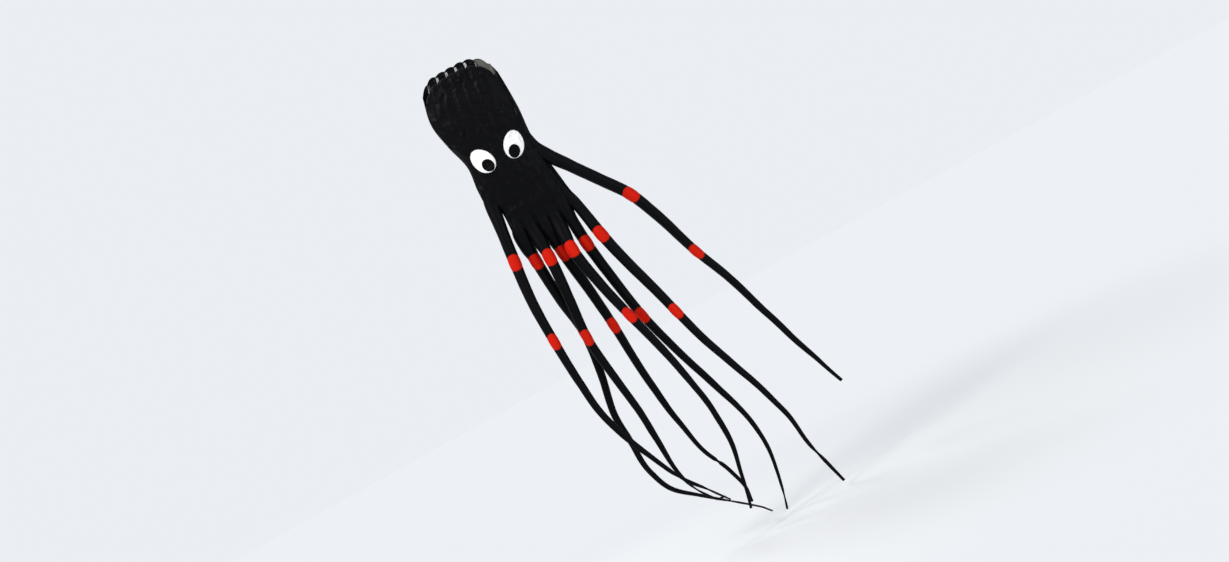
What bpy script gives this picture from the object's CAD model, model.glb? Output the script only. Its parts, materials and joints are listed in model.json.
"""Looks of the soft octopus kite: inflated skins with sewn cells, appliqué eyes, webbing loops and eight legs.

Metres, in the CAD model's frame: +Z to the nose, -Y out of the belly, the legs trail towards -Z.
"down" is a distance from the nose towards the leg tips, "across" runs along X and "front" is -1 on the
belly side and 1 on the back.
"""

import json
import math
from bisect import bisect_right

import bpy
import numpy as np
from mathutils import Matrix, Vector, noise
from mathutils.bvhtree import BVHTree

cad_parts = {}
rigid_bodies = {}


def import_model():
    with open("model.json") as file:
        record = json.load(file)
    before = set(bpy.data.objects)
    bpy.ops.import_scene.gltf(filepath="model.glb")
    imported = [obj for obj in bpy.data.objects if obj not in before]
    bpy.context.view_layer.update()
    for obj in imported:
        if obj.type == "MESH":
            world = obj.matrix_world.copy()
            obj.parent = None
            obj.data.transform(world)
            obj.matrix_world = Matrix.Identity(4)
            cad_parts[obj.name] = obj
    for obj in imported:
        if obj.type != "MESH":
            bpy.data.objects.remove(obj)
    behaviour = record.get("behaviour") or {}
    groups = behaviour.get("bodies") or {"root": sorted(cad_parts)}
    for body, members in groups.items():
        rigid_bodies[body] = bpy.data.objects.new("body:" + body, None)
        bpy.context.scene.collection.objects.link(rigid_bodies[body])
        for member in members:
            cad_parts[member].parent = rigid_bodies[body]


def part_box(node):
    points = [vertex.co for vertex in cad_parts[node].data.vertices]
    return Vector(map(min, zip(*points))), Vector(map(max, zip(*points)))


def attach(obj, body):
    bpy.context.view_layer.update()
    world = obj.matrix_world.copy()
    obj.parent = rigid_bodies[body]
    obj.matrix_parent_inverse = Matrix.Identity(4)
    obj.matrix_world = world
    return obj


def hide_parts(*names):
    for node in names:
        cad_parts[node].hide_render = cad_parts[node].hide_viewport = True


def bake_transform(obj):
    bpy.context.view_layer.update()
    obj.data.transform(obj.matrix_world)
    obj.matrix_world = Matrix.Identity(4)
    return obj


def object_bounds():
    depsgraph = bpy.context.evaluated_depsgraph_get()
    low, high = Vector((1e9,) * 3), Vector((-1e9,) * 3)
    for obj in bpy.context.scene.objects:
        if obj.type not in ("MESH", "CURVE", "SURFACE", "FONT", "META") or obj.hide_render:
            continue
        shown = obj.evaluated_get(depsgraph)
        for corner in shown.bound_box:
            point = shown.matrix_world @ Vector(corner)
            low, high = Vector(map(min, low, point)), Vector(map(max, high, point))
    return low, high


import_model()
cad_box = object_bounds()

# ---------------------------------------------------------------- sizes, which follow the CAD model's
NOSE_Z = 0.120
rib_low, rib_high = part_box("rib_4")
MID_Y = (rib_low[1] + rib_high[1]) / 2

# the bag: down, left edge, right edge, half depth
BAG = [
    (-0.060, -0.255, 0.262, 0.084),
    (0.120, -0.300, 0.272, 0.098),
    (0.300, -0.336, 0.282, 0.112),
    (0.500, -0.304, 0.284, 0.108),
    (0.700, -0.252, 0.270, 0.094),
    (0.900, -0.268, 0.285, 0.080),
    (1.000, -0.262, 0.300, 0.072),
    (1.100, -0.190, 0.314, 0.062),
    (1.150, -0.1865, 0.320, 0.0585),
    (1.220, -0.1885, 0.333, 0.053),
    (1.300, -0.192, 0.350, 0.047),
]
BAG_END = BAG[-1][0]
# the lips of the mouth on the back and on the belly: across, down
BACK_LIP = [(-0.330, 0.150), (-0.283, 0.084), (-0.215, 0.022), (-0.110, 0.002), (0, 0), (0.090, 0.004),
            (0.170, 0.032), (0.235, 0.092), (0.272, 0.180), (0.290, 0.260)]
BELLY_LIP = [(-0.330, 0.225), (-0.283, 0.150), (-0.215, 0.086), (-0.110, 0.064), (0, 0.060), (0.090, 0.066),
             (0.170, 0.100), (0.235, 0.182), (0.272, 0.285), (0.290, 0.380)]
RIBS = [-0.250 + 0.082 * k for k in range(7)]
RIB_LINES_DOWN = 0.150  # where the ribs' places across the bag are read off
RIB_SET_BACK = 0.024
LIT_TAPES = (2, 3, 4, 5)  # the ribs whose tapes are pale
VENT_RADIUS = 0.022
VENTS = (0.210, 0.380, 0.550, 0.720, 0.890)

EYE_ACROSS, EYE_DOWN = 0.127, 0.715
# an eye and its pupil: their length, width and tilt, and how far the pupil lies below and inwards of the eye
EYE_LONG, EYE_WIDE, EYE_TILT = 0.205, 0.147, math.radians(26)
PUPIL_LONG, PUPIL_WIDE, PUPIL_DROP, PUPIL_INWARD = 0.099, 0.083, 0.046, 0.019

LOOPS = {
    "tow_loop": (0, 0.120),
    "bridle_loop_front_left": (-0.168, 0.150),
    "bridle_loop_front_right": (0.160, 0.150),
    "bridle_loop_rear_left": (-0.168, 0.470),
    "bridle_loop_rear_right": (0.160, 0.470),
}
LOOP_HOLE = 0.005
LOOP_WALL = 0.0025
LOOP_WIDTH = 0.020
LOOP_PATCH_RADIUS = 0.024

# each leg: middle line as (across, down), places of its bands along it, and its depth at the upper band,
# the lower band and the tip
LEGS = {
    1: ([(-0.215, 1.000), (-0.250, 1.220), (-0.280, 1.480), (-0.305, 1.800), (-0.300, 2.120), (-0.280, 2.460),
         (-0.244, 2.750), (-0.158, 3.000), (-0.050, 3.240), (0.060, 3.440), (0.170, 3.570), (0.270, 3.700)],
        (0.483, 1.128), (-0.050, -0.140, -0.280)),
    2: ([(-0.146, 1.300), (-0.140, 1.540), (-0.120, 1.860), (-0.085, 2.160), (-0.120, 2.480), (-0.178, 2.800),
         (-0.168, 3.020), (-0.152, 3.270), (-0.094, 3.430), (0.080, 3.600), (0.280, 3.760), (0.490, 3.940)],
        (0.239, 0.865), (0.045, 0.040, 0.050)),
    3: ([(-0.048, 1.300), (-0.040, 1.560), (-0.060, 1.900), (-0.080, 2.200), (-0.050, 2.500), (-0.010, 2.800),
         (0.010, 3.080), (0.020, 3.320), (0.090, 3.550), (0.220, 3.720)],
        (0.265, 0.906), (-0.045, -0.050, -0.060)),
    4: ([(0.050, 1.300), (0.062, 1.580), (0.100, 1.910), (0.130, 2.230), (0.145, 2.520), (0.170, 2.800),
         (0.210, 3.080), (0.276, 3.365), (0.372, 3.580), (0.410, 3.720), (0.400, 3.850)],
        (0.277, 0.929), (0.056, 0.125, 0.220)),
    5: ([(0.140, 1.300), (0.134, 1.590), (0.190, 1.900), (0.270, 2.210), (0.360, 2.540), (0.430, 2.860),
         (0.470, 3.140), (0.465, 3.400), (0.420, 3.620), (0.370, 3.840)],
        (0.293, 0.929), (-0.056, -0.130, -0.160)),
    6: ([(0.229, 1.300), (0.245, 1.590), (0.290, 1.920), (0.350, 2.250), (0.440, 2.570), (0.550, 2.900),
         (0.637, 3.160), (0.688, 3.395), (0.670, 3.720), (0.600, 4.010)],
        (0.297, 0.962), (0.045, 0.035, 0.120)),
    7: ([(0.318, 1.300), (0.370, 1.590), (0.450, 1.900), (0.520, 2.130), (0.580, 2.350), (0.660, 2.620),
         (0.750, 2.860), (0.840, 3.100), (0.920, 3.360), (0.970, 3.680), (1.060, 4.000)],
        (0.300, 1.076), (-0.045, -0.045, -0.050)),
    8: ([(0.300, 0.900), (0.400, 1.030), (0.550, 1.230), (0.700, 1.440), (0.790, 1.650), (0.920, 2.030),
         (1.030, 2.290), (1.130, 2.590), (1.230, 2.890), (1.300, 3.090), (1.410, 3.380)],
        (0.672, 1.310), (0.050, 0.110, 0.220)),
}
BAND = 0.125
ROOT_RADIUS = 0.0435
UPPER_RADIUS = 0.0395
LOWER_RADIUS = 0.0325
TIP_ROOT_RADIUS = 0.028
TIP_MIDDLE_RADIUS = 0.0225
TIP_END_RADIUS = {1: 0.006, 2: 0.006, 4: 0.009, 5: 0.009, 6: 0.0085, 7: 0.009, 8: 0.0135}
TIP_MIDDLE = 0.750
TIP_HOOK = 0.024  # how far a tip's last stretch leans out of the belly or back
CURLS = {2: (0.010, -0.022), 3: (0.030, 0.030)}  # how far a tip's very end curls: across, up
CURL_LENGTH = 0.06
# where a slack tip is twisted into a neck: share of the leg's length, how much narrower it is
NECKS = {1: ((0.86, 0.35), (0.94, 0.4)), 2: ((0.90, 0.3),), 3: ((0.91, 0.45),), 4: ((0.845, 0.5),),
         6: ((0.965, 0.4),), 7: ((0.90, 0.45),)}
NECK_REACH = {4: 0.020}  # how far along the leg a neck reaches, where it isn't 45 mm

# ---------------------------------------------------------------- how the cloth behaves
CLOTH = 0.0007  # a skin's thickness as drawn
RIB_CLOTH = 0.0008
THREAD_RADIUS = 0.0005
LOBE_AT_MOUTH, LOBE_AT_NECK = 0.024, 0.007  # how far a cell's skin stands out between its ribs
SCALLOP = 0.016  # how far the lip runs forward between its ribs
BULGE_CAP = 0.009  # the most that the pressure simulation may move a point
AIR_STEPS = 26
SKIRT_START = 1.12  # from here the cells give way to the leg roots
SKIRT_ROOTS = [line[0][0] for line, bands, depth in LEGS.values() if line[0][1] == BAG_END]
# half the width and half the thickness of a leg root where it leaves the skirt, and how far it sinks at the end
SKIRT_WIDE, SKIRT_THICK, SKIRT_SINK = 0.050, 0.0425, 0.004


class Smooth:
    """A smooth curve through known points."""

    def __init__(self, xs, ys):
        self.xs, self.ys = [float(x) for x in xs], [float(y) for y in ys]
        self.slopes = [float(slope) for slope in np.gradient(self.ys, self.xs)]

    def __call__(self, x):
        xs, ys, slopes = self.xs, self.ys, self.slopes
        x = min(max(x, xs[0]), xs[-1])
        i = min(max(bisect_right(xs, x) - 1, 0), len(xs) - 2)
        h = xs[i + 1] - xs[i]
        t = (x - xs[i]) / h
        start = (2 * t**3 - 3 * t**2 + 1) * ys[i] + (t**3 - 2 * t**2 + t) * h * slopes[i]
        return start + (3 * t**2 - 2 * t**3) * ys[i + 1] + (t**3 - t**2) * h * slopes[i + 1]


def ramp(x, low, high):
    """0 below low, 1 above high, and smooth between."""
    t = min(max((x - low) / (high - low), 0), 1)
    return t * t * (3 - 2 * t)


downs, lefts, rights, half_depths = zip(*BAG)
LEFT_EDGE, RIGHT_EDGE, HALF_DEPTH = Smooth(downs, lefts), Smooth(downs, rights), Smooth(downs, half_depths)
LIPS = {True: Smooth(*zip(*BACK_LIP)), False: Smooth(*zip(*BELLY_LIP))}

rib_left = LEFT_EDGE(RIB_LINES_DOWN)
rib_right = RIGHT_EDGE(RIB_LINES_DOWN)
CELL_EDGES = [0, *[(rib - rib_left) / (rib_right - rib_left) for rib in RIBS], 1]


def in_cell(share):
    """How far across its own cell a point lies, 0 to 1."""
    i = int(np.clip(np.searchsorted(CELL_EDGES, share, side="right") - 1, 0, len(CELL_EDGES) - 2))
    return (share - CELL_EDGES[i]) / (CELL_EDGES[i + 1] - CELL_EDGES[i])


def crown(t):
    """The round profile of one inflated cell, 0 at its ribs and 1 in its middle."""
    return math.sin(math.pi * min(max(t, 0), 1)) ** 0.7


def calm(across, down):
    """0 at a loop's patch, where the belly is kept flat, and 1 away from it."""
    least = min(math.hypot(across - x, down - d) for x, d in LOOPS.values())
    return ramp(least, LOOP_PATCH_RADIUS * 0.8, LOOP_PATCH_RADIUS * 2.4)


def skin_depth(share, down, belly=False):
    """How far the skin stands from the bag's middle plane."""
    left, right = LEFT_EDGE(down), RIGHT_EDGE(down)
    across = left + (right - left) * share
    side = math.sqrt(max(1 - (2 * share - 1) ** 2, 0))
    oval = HALF_DEPTH(down) * side**0.9
    lobe = LOBE_AT_NECK + (LOBE_AT_MOUTH - LOBE_AT_NECK) * (1 - ramp(down, 0.05, 0.45))
    lobe *= 1 - ramp(down, 0.85, SKIRT_START)
    if belly:
        lobe *= calm(across, down)
    bag = oval - lobe * side * (0.75 - crown(in_cell(share)))
    nearest = min(abs(across - root) for root in SKIRT_ROOTS)
    thick = SKIRT_THICK - SKIRT_SINK * ramp(down, BAG_END - 0.03, BAG_END)
    roots = thick * math.sqrt(max(1 - (nearest / SKIRT_WIDE) ** 2, 0))
    skirt = ramp(down, SKIRT_START, BAG_END)
    return bag * (1 - skirt) + roots * skirt


# ---------------------------------------------------------------- meshes
def grid_mesh(name, rows, closed=False):
    """A mesh over rows of points, with a UV map "cloth" that runs in metres across and along the rows."""
    rows = np.array(rows)
    count, width = rows.shape[:2]
    around = np.r_[[np.zeros(count)], np.cumsum(np.linalg.norm(np.diff(rows, axis=1), axis=2), axis=1).T].T
    along = np.r_[[np.zeros(width)], np.cumsum(np.linalg.norm(np.diff(rows, axis=0), axis=2), axis=0)]
    across = around.mean(axis=0)
    lengthways = along.mean(axis=1)
    faces, uvs = [], []
    last = width if closed else width - 1
    for r in range(count - 1):
        for c in range(last):
            n = (c + 1) % width
            faces.append((r * width + c, r * width + n, (r + 1) * width + n, (r + 1) * width + c))
            far = across[n] if n else across[-1] + across[1]
            uvs += [(across[c], lengthways[r]), (far, lengthways[r]),
                    (far, lengthways[r + 1]), (across[c], lengthways[r + 1])]
    mesh = bpy.data.meshes.new(name)
    mesh.from_pydata(rows.reshape(-1, 3).tolist(), [], faces)
    layer = mesh.uv_layers.new(name="cloth")
    layer.data.foreach_set("uv", np.array(uvs).ravel())
    mesh.polygons.foreach_set("use_smooth", [True] * len(mesh.polygons))
    obj = bpy.data.objects.new(name, mesh)
    bpy.context.scene.collection.objects.link(obj)
    return obj


def apply_modifiers(obj):
    """Makes the modifiers' result the object's own mesh."""
    graph = bpy.context.evaluated_depsgraph_get()
    mesh = bpy.data.meshes.new_from_object(obj.evaluated_get(graph), depsgraph=graph)
    obj.modifiers.clear()
    obj.data = mesh


def thicken(obj, thickness, offset=1):
    solid = obj.modifiers.new("thickness", "SOLIDIFY")
    solid.thickness = thickness
    solid.offset = offset
    apply_modifiers(obj)
    obj.data.polygons.foreach_set("use_smooth", [True] * len(obj.data.polygons))


def joined(name, objects):
    """One object made of several."""
    for other in bpy.context.view_layer.objects:
        other.select_set(False)
    for obj in objects:
        obj.select_set(True)
    bpy.context.view_layer.objects.active = objects[0]
    bpy.ops.object.join()
    objects[0].name = objects[0].data.name = name
    return objects[0]


def thread_run(name, points, radius, closed=False):
    """A round thread along points."""
    curve = bpy.data.curves.new(name, "CURVE")
    curve.dimensions = "3D"
    curve.bevel_depth = radius
    curve.bevel_resolution = 1
    spline = curve.splines.new("POLY")
    spline.points.add(len(points) - 1)
    for target, point in zip(spline.points, points):
        target.co = (*point, 1)
    spline.use_cyclic_u = closed
    obj = bpy.data.objects.new(name, curve)
    bpy.context.scene.collection.objects.link(obj)
    graph = bpy.context.evaluated_depsgraph_get()
    mesh = bpy.data.meshes.new_from_object(obj.evaluated_get(graph), depsgraph=graph)
    bpy.data.objects.remove(obj)
    made = bpy.data.objects.new(name, mesh)
    bpy.context.scene.collection.objects.link(made)
    mesh.polygons.foreach_set("use_smooth", [True] * len(mesh.polygons))
    return made


# ---------------------------------------------------------------- materials
MIX_A, MIX_B, MIX_RESULT = 6, 7, 2  # a Mix node's colour sockets


def nodes_of(name):
    material = bpy.data.materials.new(name)
    material.use_nodes = True
    tree = material.node_tree
    return material, tree, tree.nodes["Principled BSDF"]


def node(tree, kind, inputs=None, **settings):
    made = tree.nodes.new(kind)
    for key, value in settings.items():
        setattr(made, key, value)
    for key, value in (inputs or {}).items():
        if hasattr(value, "is_linked"):
            tree.links.new(value, made.inputs[key])
        else:
            made.inputs[key].default_value = value
    return made


def ripstop(name, colour, grid_colour, roughness, sheen, gloss_level=0.3, pitch=0.006, wrinkle=1.0):
    """Ripstop nylon: a fine plain weave with a raised grid of thicker yarns, crinkles and slight wear."""
    material, tree, shader = nodes_of(name)
    cloth = node(tree, "ShaderNodeUVMap", uv_map="cloth").outputs["UV"]
    place = node(tree, "ShaderNodeTexCoord").outputs["Object"]
    grid = node(tree, "ShaderNodeTexBrick", {
        "Vector": cloth, "Color1": (0, 0, 0, 1), "Color2": (0, 0, 0, 1), "Mortar": (1, 1, 1, 1),
        "Scale": 1.0, "Mortar Size": pitch * 0.07, "Mortar Smooth": 0.6, "Brick Width": pitch,
        "Row Height": pitch}, offset=0.0)
    weave = node(tree, "ShaderNodeTexWave", {"Vector": cloth, "Scale": 900.0, "Distortion": 0.4},
                 bands_direction="DIAGONAL")
    crinkle = node(tree, "ShaderNodeTexNoise", {"Vector": place, "Scale": 26.0, "Detail": 6.0,
                                                "Roughness": 0.62, "Distortion": 0.8})
    fade = node(tree, "ShaderNodeTexNoise", {"Vector": place, "Scale": 3.5, "Detail": 4.0})
    shade = node(tree, "ShaderNodeMapRange", {"Value": fade.outputs["Fac"], "From Min": 0.3, "From Max": 0.7,
                                              "To Min": 0.84, "To Max": 1.04})
    base = node(tree, "ShaderNodeMix", {"Factor": grid.outputs["Color"]}, data_type="RGBA")
    base.inputs[MIX_A].default_value = (*colour, 1)
    base.inputs[MIX_B].default_value = (*grid_colour, 1)
    scaled = node(tree, "ShaderNodeVectorMath", operation="SCALE")
    tree.links.new(base.outputs[MIX_RESULT], scaled.inputs[0])
    tree.links.new(shade.outputs["Result"], scaled.inputs["Scale"])
    tree.links.new(scaled.outputs[0], shader.inputs["Base Color"])
    gloss = node(tree, "ShaderNodeMapRange", {"Value": crinkle.outputs["Fac"], "From Min": 0.25, "From Max": 0.75,
                                              "To Min": roughness - 0.07, "To Max": roughness + 0.09})
    tree.links.new(gloss.outputs["Result"], shader.inputs["Roughness"])
    yarns = node(tree, "ShaderNodeBump", {"Strength": 0.14, "Distance": 0.0003, "Height": grid.outputs["Fac"]})
    fine = node(tree, "ShaderNodeBump", {"Strength": 0.06, "Distance": 0.0002, "Height": weave.outputs["Fac"],
                                         "Normal": yarns.outputs["Normal"]})
    creased = node(tree, "ShaderNodeBump", {"Strength": 0.22 * wrinkle, "Distance": 0.004,
                                            "Height": crinkle.outputs["Fac"], "Normal": fine.outputs["Normal"]})
    tree.links.new(creased.outputs["Normal"], shader.inputs["Normal"])
    shader.inputs["Sheen Weight"].default_value = sheen
    shader.inputs["Sheen Roughness"].default_value = 0.45
    shader.inputs["Specular IOR Level"].default_value = gloss_level
    return material


def woven(name, colour, roughness, scale):
    """Webbing or tape: rows of coarse diagonal weave."""
    material, tree, shader = nodes_of(name)
    place = node(tree, "ShaderNodeTexCoord").outputs["Object"]
    rows = node(tree, "ShaderNodeTexWave", {"Vector": place, "Scale": scale, "Distortion": 1.5,
                                            "Detail": 2.0}, bands_direction="DIAGONAL")
    fuzz = node(tree, "ShaderNodeTexNoise", {"Vector": place, "Scale": 400.0, "Detail": 3.0})
    tone = node(tree, "ShaderNodeMapRange", {"Value": rows.outputs["Fac"], "To Min": 0.7, "To Max": 1.25})
    scaled = node(tree, "ShaderNodeVectorMath", operation="SCALE")
    scaled.inputs[0].default_value = colour
    tree.links.new(tone.outputs["Result"], scaled.inputs["Scale"])
    tree.links.new(scaled.outputs[0], shader.inputs["Base Color"])
    rough = node(tree, "ShaderNodeMapRange", {"Value": fuzz.outputs["Fac"], "To Min": roughness - 0.1,
                                              "To Max": roughness + 0.1})
    tree.links.new(rough.outputs["Result"], shader.inputs["Roughness"])
    bump = node(tree, "ShaderNodeBump", {"Strength": 0.5, "Distance": 0.0006, "Height": rows.outputs["Fac"]})
    tree.links.new(bump.outputs["Normal"], shader.inputs["Normal"])
    shader.inputs["Specular IOR Level"].default_value = 0.15
    return material


BLACK = ripstop("black_ripstop", (0.0018, 0.0019, 0.0028), (0.0032, 0.0034, 0.0052), 0.46, 0.0, 0.06)
RIB_GREY = ripstop("rib_nylon", (0.30, 0.29, 0.285), (0.36, 0.35, 0.34), 0.5, 0.1)
FACING = ripstop("facing_nylon", (0.115, 0.110, 0.098), (0.150, 0.145, 0.130), 0.55, 0.0, 0.2)
SEAM_TAPE = woven("seam_tape", (0.80, 0.78, 0.78), 0.6, 260.0)
RED = ripstop("red_ripstop", (0.60, 0.010, 0.002), (0.68, 0.015, 0.003), 0.5, 0.0, 0.06)
WHITE = ripstop("white_ripstop", (0.93, 0.93, 0.92), (0.95, 0.95, 0.945), 0.5, 0.03, wrinkle=0.5)
PUPIL = ripstop("pupil_ripstop", (0.0018, 0.0018, 0.0022), (0.0034, 0.0034, 0.0038), 0.5, 0.0, 0.05, wrinkle=0.5)
TAPE = woven("binding_tape", (0.0050, 0.0050, 0.0065), 0.55, 260.0)
WEBBING = woven("black_webbing", (0.0055, 0.0055, 0.0065), 0.62, 180.0)
BLACK_THREAD = woven("black_thread", (0.005, 0.005, 0.006), 0.5, 700.0)
WHITE_THREAD = woven("white_thread", (0.80, 0.80, 0.78), 0.6, 700.0)


def finish_piece(obj, material, nodes, body):
    if material:
        obj.data.materials.clear()
        obj.data.materials.append(material)
    obj.name = nodes[0] + "_piece"
    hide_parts(*nodes)
    if body:
        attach(obj, body)


# ---------------------------------------------------------------- the bag
COLUMNS_PER_CELL = 8
ROWS = 110


def skin_shares():
    shares = []
    for low, high in zip(CELL_EDGES, CELL_EDGES[1:]):
        shares += [low + (high - low) * i / COLUMNS_PER_CELL for i in range(COLUMNS_PER_CELL)]
    return [*shares, 1.0]


def lip_at(share, back):
    """How far down the lip lies on the line at this share of the width, with its scallop."""
    down = 0.05
    for _ in range(16):
        left, right = LEFT_EDGE(down), RIGHT_EDGE(down)
        down = 0.5 * down + 0.5 * LIPS[back](left + (right - left) * share)
    return down - SCALLOP * crown(in_cell(share)) * (1 if back else 0.6)


def skin_point(share, down, front):
    left, right = LEFT_EDGE(down), RIGHT_EDGE(down)
    across = left + (right - left) * share
    return (across, MID_Y + front * skin_depth(share, down, front < 0), NOSE_Z - down)


def inflate(obj, pinned):
    """Fills a skin with air: cloth under pressure between its seams, with a cap on how far it may move."""
    start = np.array([v.co for v in obj.data.vertices])
    group = obj.vertex_groups.new(name="seams")
    group.add(pinned, 1.0, "REPLACE")
    cloth = obj.modifiers.new("air", "CLOTH")
    settings = cloth.settings
    settings.quality = 6
    settings.mass = 0.05
    settings.tension_stiffness = settings.compression_stiffness = 12
    settings.bending_stiffness = 0.05
    settings.shrink_min = -0.035
    settings.use_pressure = True
    settings.uniform_pressure_force = 2.0
    settings.effector_weights.gravity = 0
    settings.vertex_group_mass = "seams"
    cloth.collision_settings.use_collision = False
    cloth.point_cache.frame_start, cloth.point_cache.frame_end = 1, AIR_STEPS
    for step in range(1, AIR_STEPS + 1):
        bpy.context.scene.frame_set(step)
    apply_modifiers(obj)
    moved = np.array([v.co for v in obj.data.vertices]) - start
    size = np.linalg.norm(moved, axis=1, keepdims=True)
    capped = start + moved * np.minimum(1, BULGE_CAP / np.maximum(size, 1e-9))
    obj.data.vertices.foreach_set("co", capped.ravel())
    obj.vertex_groups.clear()
    bpy.context.scene.frame_set(1)


def make_skin(name, back):
    shares = skin_shares()
    lips = [lip_at(share, back) for share in shares]
    rows = []
    for r in range(ROWS + 1):
        t = (r / ROWS) ** 1.05
        rows.append([skin_point(s, lip + (BAG_END - lip) * t, 1 if back else -1) for s, lip in zip(shares, lips)])
    if back:
        rows = [row[::-1] for row in rows]
    skin = grid_mesh(name, rows)
    width = len(shares)
    pinned = []
    for r in range(ROWS + 1):
        for c in range(width):
            on_rib = c % COLUMNS_PER_CELL == 0 and r < ROWS * 0.9
            x, _, z = rows[r][c]
            flat = not back and calm(x, NOSE_Z - z) < 0.9
            if on_rib or flat or c in (0, width - 1) or r < 2 or r > ROWS - 4:
                pinned.append(r * width + c)
    inflate(skin, pinned)
    thicken(skin, CLOTH, offset=-1)
    finish_piece(skin, BLACK, [name], "head")
    return skin


make_skin("back_skin", True)
belly_tree = BVHTree.FromObject(make_skin("belly_skin", False), bpy.context.evaluated_depsgraph_get())


def on_belly(across, down, above=0.0):
    """The place on the belly's finished surface at (across, down), raised by above."""
    z = NOSE_Z - down
    hit = belly_tree.ray_cast(Vector((across, -1, z)), Vector((0, 1, 0)))[0]
    return (across, hit.y - above, z)


def make_hem(name, back):
    """Binding tape folded over the lip, with a stitch line along it."""
    front = 1 if back else -1
    shares = np.linspace(0, 1, 161)
    width, proud = 0.012, 0.0016
    rows = []
    for share in shares:
        lip = lip_at(share, back)
        ring = []
        for reach, out in ((width, 0.0002), (width * 0.9, 1), (0.002, 1.1), (-0.0016, 0.4), (-0.0016, -0.9),
                           (0.002, -1.5), (width, -1.2)):
            x, y, z = skin_point(share, lip + reach, front)
            ring.append((x, y + front * out * proud, z))
        rows.append(ring)
    if not back:
        rows = rows[::-1]
    hem = grid_mesh(name, rows, closed=True)
    line = [skin_point(s, lip_at(s, back) + width * 0.75, front) for s in np.linspace(0.004, 0.996, 400)]
    stitches = [(x, y + front * (proud + 0.0002) * (1 if i % 2 else 0.6), z) for i, (x, y, z) in enumerate(line)]
    thread = thread_run(name + "_stitches", stitches, THREAD_RADIUS)
    hem.data.materials.append(TAPE)
    thread.data.materials.append(BLACK_THREAD)
    hem = joined(name, [hem, thread])
    finish_piece(hem, None, [name], "head")


make_hem("back_hem", True)
make_hem("belly_hem", False)


def seam_tape(share):
    """The light tape that holds a rib to the inside of the back skin, seen in the open mouth."""
    lip = lip_at(share, True)
    across = 0.017 / (rib_right - rib_left)
    rows = []
    for r in range(31):
        down = lip + 0.006 + 0.115 * r / 30
        row = []
        for c in range(7):
            x, y, z = skin_point(share + across * c / 6, down, 1)
            row.append((x, y - 0.0022 - 0.0006 * math.sin(math.pi * c / 6), z))
        rows.append(row)
    tape = grid_mesh("seam_tape", rows)
    thicken(tape, RIB_CLOTH, offset=0)
    return tape


def make_facing():
    """Light cloth on the inside of the back skin at the mouth's right shoulder."""
    low, high = CELL_EDGES[-3], CELL_EDGES[-1]
    rows = []
    for r in range(17):
        row = []
        for c in range(33):
            share = low + (high - low) * (0.10 + 0.78 * c / 32)
            x, y, z = skin_point(share, lip_at(share, True) + 0.007 + 0.075 * r / 16, 1)
            row.append((x, y - BULGE_CAP - 0.0015, z))
        rows.append(row)
    facing = grid_mesh("facing", rows)
    thicken(facing, 0.0006, offset=0)
    facing.data.materials.clear()
    facing.data.materials.append(FACING)
    return facing


def make_rib(number):
    """A rib: cloth pulled tight between the skins, hollowed at its front edge, with taped vents."""
    share = CELL_EDGES[number]
    low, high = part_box(f"rib_{number}")
    end = NOSE_Z - low[2]
    start = lip_at(share, True) + RIB_SET_BACK
    slope = lip_at(share, False) - lip_at(share, True)
    rows = []
    for r in range(91):
        t = r / 90
        row = []
        for c in range(25):
            across_depth = 2 * c / 24 - 1
            slant = slope * 0.5 * (1 - across_depth)
            hollow = 0.020 * (1 - across_depth**2)
            down = start + slant + hollow
            down += (end - down) * t
            x, y, z = skin_point(share, down, 1)
            depth = skin_depth(share, down) - 0.0015 - 0.006 * ramp(t, 0.6, 1)
            row.append((x + 0.0015 * math.sin(9 * across_depth + 31 * t), MID_Y + across_depth * depth, z))
        rows.append(row)
    rib = grid_mesh(f"rib_{number}", rows)
    cutters = []
    for down in VENTS:
        if start + 0.06 < down < end - 0.05:
            x, _, z = skin_point(share, down, 1)
            bpy.ops.mesh.primitive_cylinder_add(vertices=40, radius=VENT_RADIUS, depth=0.06,
                                                location=(x, MID_Y, z), rotation=(0, math.pi / 2, 0))
            cutters.append(bpy.context.object)
    thicken(rib, RIB_CLOTH, offset=0)
    if cutters:
        cutter = joined("cutter", cutters)
        cut = rib.modifiers.new("vents", "BOOLEAN")
        cut.operation, cut.solver, cut.object = "DIFFERENCE", "EXACT", cutter
        apply_modifiers(rib)
        bpy.data.objects.remove(cutter)
    edge = [rows[0][c] for c in range(25)]
    tape = thread_run("edge_tape", edge, 0.0022)
    rib.data.materials.clear()
    rib.data.materials.append(RIB_GREY)
    tape.data.materials.append(RIB_GREY)
    seam = seam_tape(share)
    seam.data.materials.clear()
    seam.data.materials.append(SEAM_TAPE if number in LIT_TAPES else FACING)
    pieces = [rib, tape, seam]
    if number == len(RIBS):
        pieces.append(make_facing())
    rib = joined(f"rib_{number}", pieces)
    finish_piece(rib, None, [f"rib_{number}"], "head")


for number in range(1, len(RIBS) + 1):
    make_rib(number)


# ---------------------------------------------------------------- eyes
EYE_EGG = 0.08  # how much narrower an eye is at its upper end


def oval(angle, side, length, width, egg=0.0):
    """A point on a tilted oval's edge, as an offset from its middle."""
    long, wide = length / 2 * math.cos(angle), width / 2 * math.sin(angle)
    wide *= 1 - egg * math.cos(angle)
    tilt = side * EYE_TILT
    return (wide * math.cos(tilt) + long * math.sin(tilt), long * math.cos(tilt) - wide * math.sin(tilt))


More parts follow.
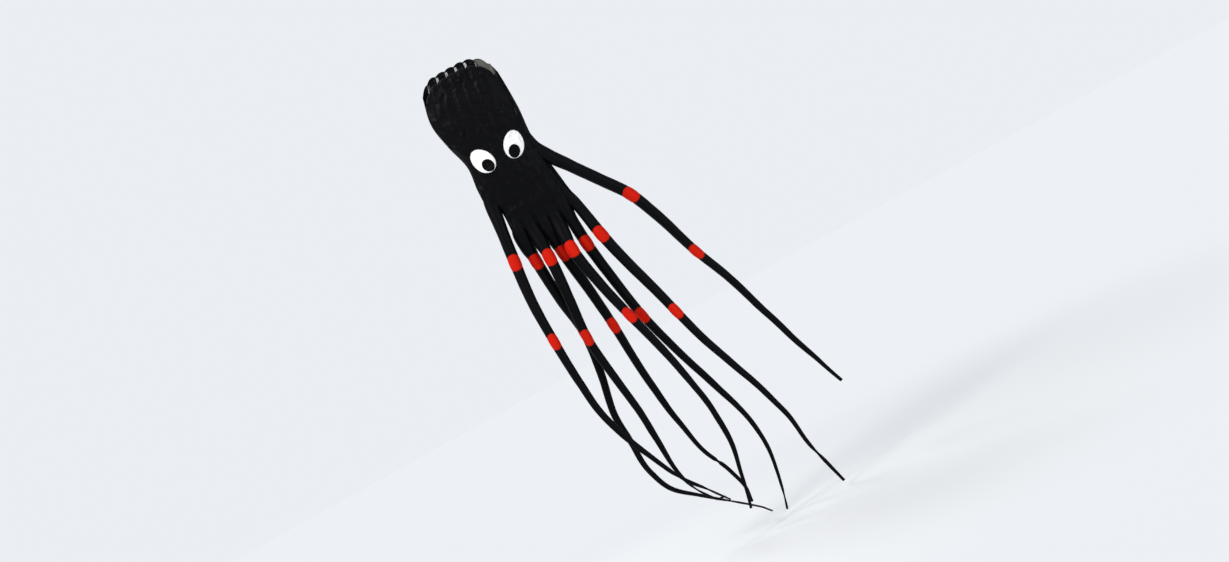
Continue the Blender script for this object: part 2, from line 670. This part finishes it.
def patch(name, outline, centre, lift, material, thread_material):
    """A patch sewn on the belly: its edge turned under and held by a zigzag stitch."""
    across, down = centre
    steps, rings = 96, 14

    def spot(angle, share, above):
        dx, dz = outline(angle)
        return on_belly(across + dx * share, down - dz * share, above)

    rows = []
    for r in range(rings + 1):
        share = (r / rings) ** 0.8
        edge = ramp(share, 0.93, 1.0)
        rows.append([spot(2 * math.pi * i / steps, max(share, 0.004), lift + 0.0016 * (1 - edge))
                     for i in range(steps)])
    rows.append([spot(2 * math.pi * i / steps, 1.001, lift - 0.0015) for i in range(steps)])
    made = grid_mesh(name, [row[::-1] for row in rows], closed=True)
    zigzag = []
    count = 300
    for i in range(count):
        share = 0.975 if i % 2 else 1.012
        zigzag.append(spot(2 * math.pi * i / count, share, lift + (0.0019 if i % 2 else 0.0008)))
    thread = thread_run(name + "_stitches", zigzag, 0.0006, closed=True)
    made.data.materials.append(material)
    thread.data.materials.append(thread_material)
    made = joined(name, [made, thread])
    finish_piece(made, None, [name], "head")


EYE_LIFT, PUPIL_LIFT = 0.0035, 0.0057  # off the belly
for side, word in ((-1, "left"), (1, "right")):
    patch(f"eye_white_{word}", lambda a, s=side: oval(a, s, EYE_LONG, EYE_WIDE, EYE_EGG),
          (side * EYE_ACROSS, EYE_DOWN), EYE_LIFT, WHITE, WHITE_THREAD)
    patch(f"pupil_{word}", lambda a, s=side: oval(a, s, PUPIL_LONG, PUPIL_WIDE),
          (side * (EYE_ACROSS - PUPIL_INWARD), EYE_DOWN + PUPIL_DROP), PUPIL_LIFT, PUPIL, BLACK_THREAD)


# ---------------------------------------------------------------- tow and bridle loops
def make_loop(name, across, down):
    """A short strap folded into a loop, on a round patch with stitched bars."""
    centre_z = NOSE_Z - down
    centre_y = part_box(name)[0][1] + LOOP_HOLE + LOOP_WALL
    surface = on_belly(across, down)[1]
    strap, half = 0.0017, LOOP_WIDTH / 2
    inner = LOOP_HOLE
    path = []
    for i in range(25):
        angle = math.radians(-130 + 260 * i / 24)
        path.append((centre_y - inner * math.cos(angle), centre_z + inner * math.sin(angle),
                     -math.cos(angle), math.sin(angle)))
    foot = [(surface - 0.0035, 0.0034, 0.35), (surface - 0.0018, 0.008, 0.95), (surface - 0.0016, 0.021, 1.0)]
    lower = [(y, centre_z - z, -n, -math.sqrt(1 - n * n)) for y, z, n in foot]
    upper = [(y, centre_z + z, -n, math.sqrt(1 - n * n)) for y, z, n in foot]
    path = lower[::-1] + path + upper
    rows = []
    for y, z, ny, nz in path:
        ring = []
        for side, out in ((-1, 0), (-0.95, 1), (0.95, 1), (1, 0)):
            ring.append((across + side * half, y + ny * strap * out, z + nz * strap * out))
        for side in (0.95, -0.95):
            ring.append((across + side * half, y - ny * 0.0001, z - nz * 0.0001))
        rows.append(ring)
    webbing = grid_mesh(name, rows, closed=True)
    webbing.data.materials.append(WEBBING)
    steps, rings = 48, 6
    disc = []
    for r in range(rings + 1):
        share = max(r / rings, 0.01)
        ring = []
        for i in range(steps):
            a = 2 * math.pi * i / steps
            x = across + LOOP_PATCH_RADIUS * share * math.sin(a)
            z = centre_z + LOOP_PATCH_RADIUS * share * math.cos(a)
            ring.append(on_belly(x, NOSE_Z - z, 0.0034))
        disc.append(ring[::-1])
    backing = grid_mesh(name + "_patch", disc, closed=True)
    thicken(backing, 0.0022, offset=-1)
    backing.data.materials.clear()
    backing.data.materials.append(BLACK)
    rim = []
    for i in range(120):
        a = 2 * math.pi * i / 120
        share = 0.93 if i % 2 else 1.0
        x = across + LOOP_PATCH_RADIUS * share * math.sin(a)
        z = centre_z + LOOP_PATCH_RADIUS * share * math.cos(a)
        rim.append(on_belly(x, NOSE_Z - z, 0.0040))
    pieces = [webbing, backing, thread_run("rim", rim, THREAD_RADIUS, closed=True)]
    for sign in (-1, 1):
        bar = []
        for i in range(44):
            x = across + half * 0.85 * (2 * i / 43 - 1)
            z = centre_z + sign * (0.0125 if i % 2 else 0.0165)
            bar.append((x, surface - 0.0037, z))
        pieces.append(thread_run("bar", bar, THREAD_RADIUS))
    for piece in pieces[2:]:
        piece.data.materials.append(BLACK_THREAD)
    loop = joined(name, pieces)
    finish_piece(loop, None, [name], "head")


for name, (across, down) in LOOPS.items():
    make_loop(name, across, down)


# ---------------------------------------------------------------- legs
# where a leg's line comes from inside the bag, ahead of its root: across, down
INSIDE = {
    1: [(-0.188, 0.790), (-0.203, 0.895)],
    2: [(-0.128, 1.160)],
    7: [(0.274, 1.150)],
    8: [(0.226, 0.670), (0.254, 0.790)],
}
INSIDE_REACH = 0.10  # how far the other legs' lines run back into the skirt
FULL_UNTIL = {2: 0.12, 3: 0.12, 4: 0.16, 5: 0.16, 6: 0.01}  # where a root is pressed wide by its neighbours
FULLNESS = 0.20
# how much further out a root stands on one side of its line: (side, distance)
GUSSET = {1: (-1, 0.017), 2: (-1, 0.004), 7: (1, -0.007), 8: (1, 0.010)}
GUSSET_END = 0.26
BAND_BOW = 0.024  # how far a band's end seams draw back at the leg's sides
OVERLAP = 0.034  # a black sleeve runs on under a band by this much
SEAM_PINCH = 0.05
LEG_STEPS = 40
ROW_LENGTH = 0.009


class Leg:
    """One leg's middle line, smooth and measured along its length from the root."""

    def __init__(self, number):
        line, (upper, lower), depth = LEGS[number]
        inside = INSIDE.get(number) or [(line[0][0], line[0][1] - INSIDE_REACH)]
        route = np.array([*inside, *line])
        alongs = np.r_[0, np.cumsum(np.linalg.norm(np.diff(route, axis=0), axis=1))]
        alongs -= alongs[len(inside)]
        shift = np.interp(alongs, [0, upper, lower, alongs[-1]], [0, *depth])
        sides = [Smooth(alongs, values) for values in (route[:, 0], MID_Y + shift, NOSE_Z - route[:, 1])]
        dense = np.linspace(alongs[0], alongs[-1], 700)
        self.points = np.array([[side(value) for side in sides] for value in dense])
        lengths = np.linalg.norm(np.diff(self.points, axis=0), axis=1)
        self.alongs = np.r_[0, np.cumsum(lengths)]
        self.alongs -= np.interp(0, dense, self.alongs)
        self.start, self.length = self.alongs[0], self.alongs[-1]
        self.hinge, self.upper_end = upper - BAND / 2, upper + BAND / 2
        self.lower_start, self.tip_hinge = lower - BAND / 2, lower + BAND / 2
        self.number = number
        self.necks = [(self.length * share, depth) for share, depth in NECKS.get(number, ())]
        self.frames = {}
        self.stops = [0, self.hinge, self.upper_end, self.lower_start, self.tip_hinge + 0.05,
                      self.tip_hinge + TIP_MIDDLE, self.length]
        self.radii = [ROOT_RADIUS, ROOT_RADIUS - 0.001, UPPER_RADIUS + 0.001, LOWER_RADIUS + 0.001,
                      TIP_ROOT_RADIUS + 0.003, TIP_MIDDLE_RADIUS, TIP_END_RADIUS.get(number, 0.0075)]

    def radius(self, along):
        """The sleeve's radius; it is slimmer where it starts inside the bag."""
        return float(np.interp(along, self.stops, self.radii)) * (0.84 + 0.16 * ramp(along, -0.13, 0.0))

    def point(self, along):
        slack = self.slackness(along)
        hook = TIP_HOOK * ramp(along, self.length * 0.90, self.length) ** 2
        x, y, z = (np.interp(along, self.alongs, self.points[:, k]) for k in range(3))
        curl = ramp(along, self.length - CURL_LENGTH, self.length)
        across, up = CURLS.get(self.number, (0, 0))
        x += 0.002 * slack * math.sin(17 * along + 2 * self.number) + curl * across
        z += curl * up
        y += 0.002 * slack * math.sin(11 * along + self.number) + hook * math.cos(3.3 * self.number)
        return np.array((x, y, z))

    def axes(self, along):
        """(direction, sideways, forwards) at a place: the last points out of the belly."""
        direction = self.point(min(along + 0.012, self.length)) - self.point(max(along - 0.012, self.start))
        direction /= np.linalg.norm(direction)
        side = np.cross(direction, (0, 1, 0))
        side /= np.linalg.norm(side)
        return direction, side, np.cross(direction, side)

    def frame(self, along):
        """The middle point, the two cross directions, the radius and the slackness at a place, worked out once."""
        if along not in self.frames:
            _, side, forward = self.axes(along)
            self.frames[along] = (self.point(along), side, forward, self.radius(along), self.slackness(along))
        return self.frames[along]

    def slackness(self, along):
        """0 where the leg is full of air and 1 near its tip, where it is half empty."""
        return ramp(along, self.tip_hinge, self.length * 0.8)


def seam_bow(angle):
    """How far past its middle place a band's end seam lies: drawn back at the sides, round in the middle."""
    return 0.002 - BAND_BOW * (1 - abs(math.sin(angle)) ** 0.9)


def leg_point(leg, along, angle, proud):
    """A point on a leg's sleeve. Two panels meet in a seam each side; a slack sleeve is flat and turns."""
    middle, side, forward, radius, slack = leg.frame(along)
    bow = seam_bow(angle)
    near = min(abs(along - seam) for seam in (leg.hinge - bow, leg.upper_end + bow, leg.lower_start - bow,
                                              leg.tip_hinge + bow))
    pinch = SEAM_PINCH * math.exp(-((near / 0.007) ** 2))
    reach = NECK_REACH.get(leg.number, 0.045)
    radius *= 1 - pinch
    for place, depth in leg.necks:
        radius *= 1 - depth * math.exp(-(((along - place) / reach) ** 2))
    fin = 0.0012 * max(abs(math.cos(angle)) - 0.97, 0) / 0.03
    spot = Vector((leg.number * 7 + 1.6 * math.cos(angle), 1.6 * math.sin(angle), along * 13))
    pucker = 0.022 * noise.noise(spot) + 0.012 * math.sin(11 * angle + leg.number) * math.exp(-((near / 0.022) ** 2))
    reach = (radius + proud + fin) * (1 + pucker * (1 + slack))
    wide, flat = 1 + 0.08 * slack, 1 - 0.20 * slack
    if leg.number in FULL_UNTIL:
        wide += FULLNESS * ramp(along, -0.08, 0.02) * (1 - ramp(along, FULL_UNTIL[leg.number],
                                                               FULL_UNTIL[leg.number] + 0.10))
    across, out = wide * math.cos(angle) * reach, flat * math.sin(angle) * reach
    if leg.number in GUSSET:
        sign, extra = GUSSET[leg.number]
        extra *= ramp(along, -0.15, 0.02) * (1 - ramp(along, 0.02, GUSSET_END))
        across += sign * extra * max(sign * math.cos(angle), 0)
    turn = slack * (0.7 * math.sin(2.1 * along + leg.number) + 0.2 * math.sin(6.3 * along + 2 * leg.number))
    sideways = across * math.cos(turn) - out * math.sin(turn)
    outwards = across * math.sin(turn) + out * math.cos(turn)
    return middle + sideways * side + outwards * forward


def leg_ring(leg, along, proud=0.0, bowed=0.0):
    """One ring of the sleeve; bowed is -1 on a band's first seam, 1 on its last, and 0 on a level ring."""
    angles = [2 * math.pi * i / LEG_STEPS for i in range(LEG_STEPS)]
    if not bowed:
        return [leg_point(leg, along, angle, proud) for angle in angles]
    return [leg_point(leg, along + bowed * seam_bow(angle), angle, proud) for angle in angles]


def place_sleeve(made, node_name, bodies, leg, hinge):
    """Rides a leg piece on its body, or bends it about its hinge."""
    made.name = node_name + "_piece"
    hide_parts(node_name)
    if hinge is None:
        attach(made, bodies[0])
        return
    direction, pivot = leg.axes(hinge)[0], leg.point(hinge)
    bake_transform(made)


def make_sleeve(leg, part, start, end, bodies, hinge):
    """A black stretch of leg. It runs on under the bands beside it."""
    name = f"leg_{leg.number}_{part}"
    count = max(int((end - start) / ROW_LENGTH), 6)
    rows = [leg_ring(leg, start + (end - start) * i / count) for i in range(count + 1)]
    if part == "tip":
        middle = np.mean(rows[-1], axis=0)
        rows.append([middle + 0.25 * (point - middle) for point in rows[-1]])
    sleeve = grid_mesh(name, rows, closed=True)
    sleeve.data.materials.append(BLACK)
    place_sleeve(sleeve, name, bodies, leg, hinge)


def make_band(leg, part, start, end, bodies, hinge):
    """A red band with its end seams bowed and stitched."""
    name = f"leg_{leg.number}_{part}"
    count = 18
    rows = []
    for i in range(count + 1):
        t = i / count
        proud = 0.0010 + 0.0016 * math.sin(math.pi * t)
        rows.append(leg_ring(leg, start + (end - start) * t, proud, 2 * t - 1))
    rows = [leg_ring(leg, start, -0.0006, -1), *rows, leg_ring(leg, end, -0.0006, 1)]
    pieces = [grid_mesh(name, rows, closed=True)]
    pieces[0].data.materials.append(RED)
    for t in (0.04, 0.96):
        ring = leg_ring(leg, start + (end - start) * t, 0.0018, 2 * t - 1)
        thread = thread_run("stitches", ring, THREAD_RADIUS, closed=True)
        thread.data.materials.append(BLACK_THREAD)
        pieces.append(thread)
    place_sleeve(joined(name, pieces), name, bodies, leg, hinge)


for number in LEGS:
    leg = Leg(number)
    upper, tip = f"leg_{number}", f"leg_{number}_tip"
    make_sleeve(leg, "root", leg.start, leg.hinge + OVERLAP, ("head", upper), leg.hinge)
    make_band(leg, "band_upper", leg.hinge, leg.upper_end, ("head", upper), leg.hinge)
    make_sleeve(leg, "shank", leg.upper_end - OVERLAP, leg.lower_start + OVERLAP, (upper,), None)
    make_band(leg, "band_lower", leg.lower_start, leg.tip_hinge, (upper, tip), leg.tip_hinge)
    make_sleeve(leg, "tip", leg.tip_hinge - OVERLAP, leg.length, (upper, tip), leg.tip_hinge)


# ---------------------------------------------------------------- floor, light and camera
FLOOR_Z = cad_box[0][2] - 0.03
BACKDROP = (0.90, 0.93, 0.97, 1)
BACKDROP_STRENGTH = 0.92


def make_floor():
    """A pale floor that glows like the backdrop further out, so that no horizon shows."""
    bpy.ops.mesh.primitive_circle_add(vertices=96, radius=60, fill_type="TRIFAN", location=(0, 0, FLOOR_Z))
    floor = bpy.context.object
    floor.name = "floor"
    material, tree, shader = nodes_of("floor")
    shader.inputs["Roughness"].default_value = 0.9
    shader.inputs["Specular IOR Level"].default_value = 0.1
    place = node(tree, "ShaderNodeTexCoord").outputs["Object"]
    distance = node(tree, "ShaderNodeVectorMath", {0: place}, operation="LENGTH")
    far = node(tree, "ShaderNodeMapRange", {"Value": distance.outputs["Value"], "From Min": 1.5, "From Max": 6.0},
               interpolation_type="SMOOTHSTEP").outputs["Result"]
    colour = node(tree, "ShaderNodeMix", {"Factor": far}, data_type="RGBA")
    colour.inputs[MIX_A].default_value = (0.74, 0.75, 0.76, 1)
    colour.inputs[MIX_B].default_value = (0, 0, 0, 1)
    tree.links.new(colour.outputs[MIX_RESULT], shader.inputs["Base Color"])
    shader.inputs["Emission Color"].default_value = BACKDROP
    glow = node(tree, "ShaderNodeMath", {0: far, 1: BACKDROP_STRENGTH}, operation="MULTIPLY")
    tree.links.new(glow.outputs["Value"], shader.inputs["Emission Strength"])
    floor.data.materials.append(material)


def make_light(name, place, target, size, power, colour):
    data = bpy.data.lights.new(name, "AREA")
    data.shape = "RECTANGLE"
    data.size = data.size_y = size
    data.energy = power
    data.color = colour
    lamp = bpy.data.objects.new(name, data)
    lamp.location = place
    lamp.rotation_euler = (Vector(target) - Vector(place)).to_track_quat("-Z", "Y").to_euler()
    bpy.context.scene.collection.objects.link(lamp)


make_floor()
make_light("key", (-5, -5, 5), (0.2, 0, -1.2), 3.0, 620, (1, 0.98, 0.95))
make_light("rim", (-3, 5, 4.5), (0, 0, -0.5), 2.5, 420, (0.95, 0.97, 1))
make_light("fill", (7, -7, 1), (0.3, 0, -2), 5.0, 260, (0.95, 0.97, 1))

world = bpy.data.worlds.new("studio")
bpy.context.scene.world = world
world.use_nodes = True
backdrop = world.node_tree.nodes["Background"]
backdrop.inputs["Color"].default_value = BACKDROP
# the backdrop is seen pale, and lights the kite more softly
rays = node(world.node_tree, "ShaderNodeLightPath")
strength = node(world.node_tree, "ShaderNodeMapRange", {"Value": rays.outputs["Is Camera Ray"], "To Min": 0.55,
                                                        "To Max": BACKDROP_STRENGTH})
world.node_tree.links.new(strength.outputs["Result"], backdrop.inputs["Strength"])
bpy.context.scene.view_settings.view_transform = "Standard"

# The photograph's frame: its size in metres at the kite, where its middle falls on the kite, and its tilt
FRAME_WIDTH = 8.94
FRAME_ACROSS, FRAME_DOWN = 0.291, 1.934
TILT = math.radians(28.7)
DISTANCE = 16.0
camera_data = bpy.data.cameras.new("camera")
camera_data.lens = 36 * DISTANCE / FRAME_WIDTH
camera_data.clip_end = 200
camera = bpy.data.objects.new("camera", camera_data)
bpy.context.scene.collection.objects.link(camera)
bpy.context.scene.camera = camera
right = Vector((math.cos(TILT), 0, -math.sin(TILT)))
up = Vector((math.sin(TILT), 0, math.cos(TILT)))
turn = Matrix((right, up, right.cross(up))).transposed()
camera.matrix_world = Matrix.Translation((FRAME_ACROSS, MID_Y - DISTANCE, NOSE_Z - FRAME_DOWN)) @ turn.to_4x4()
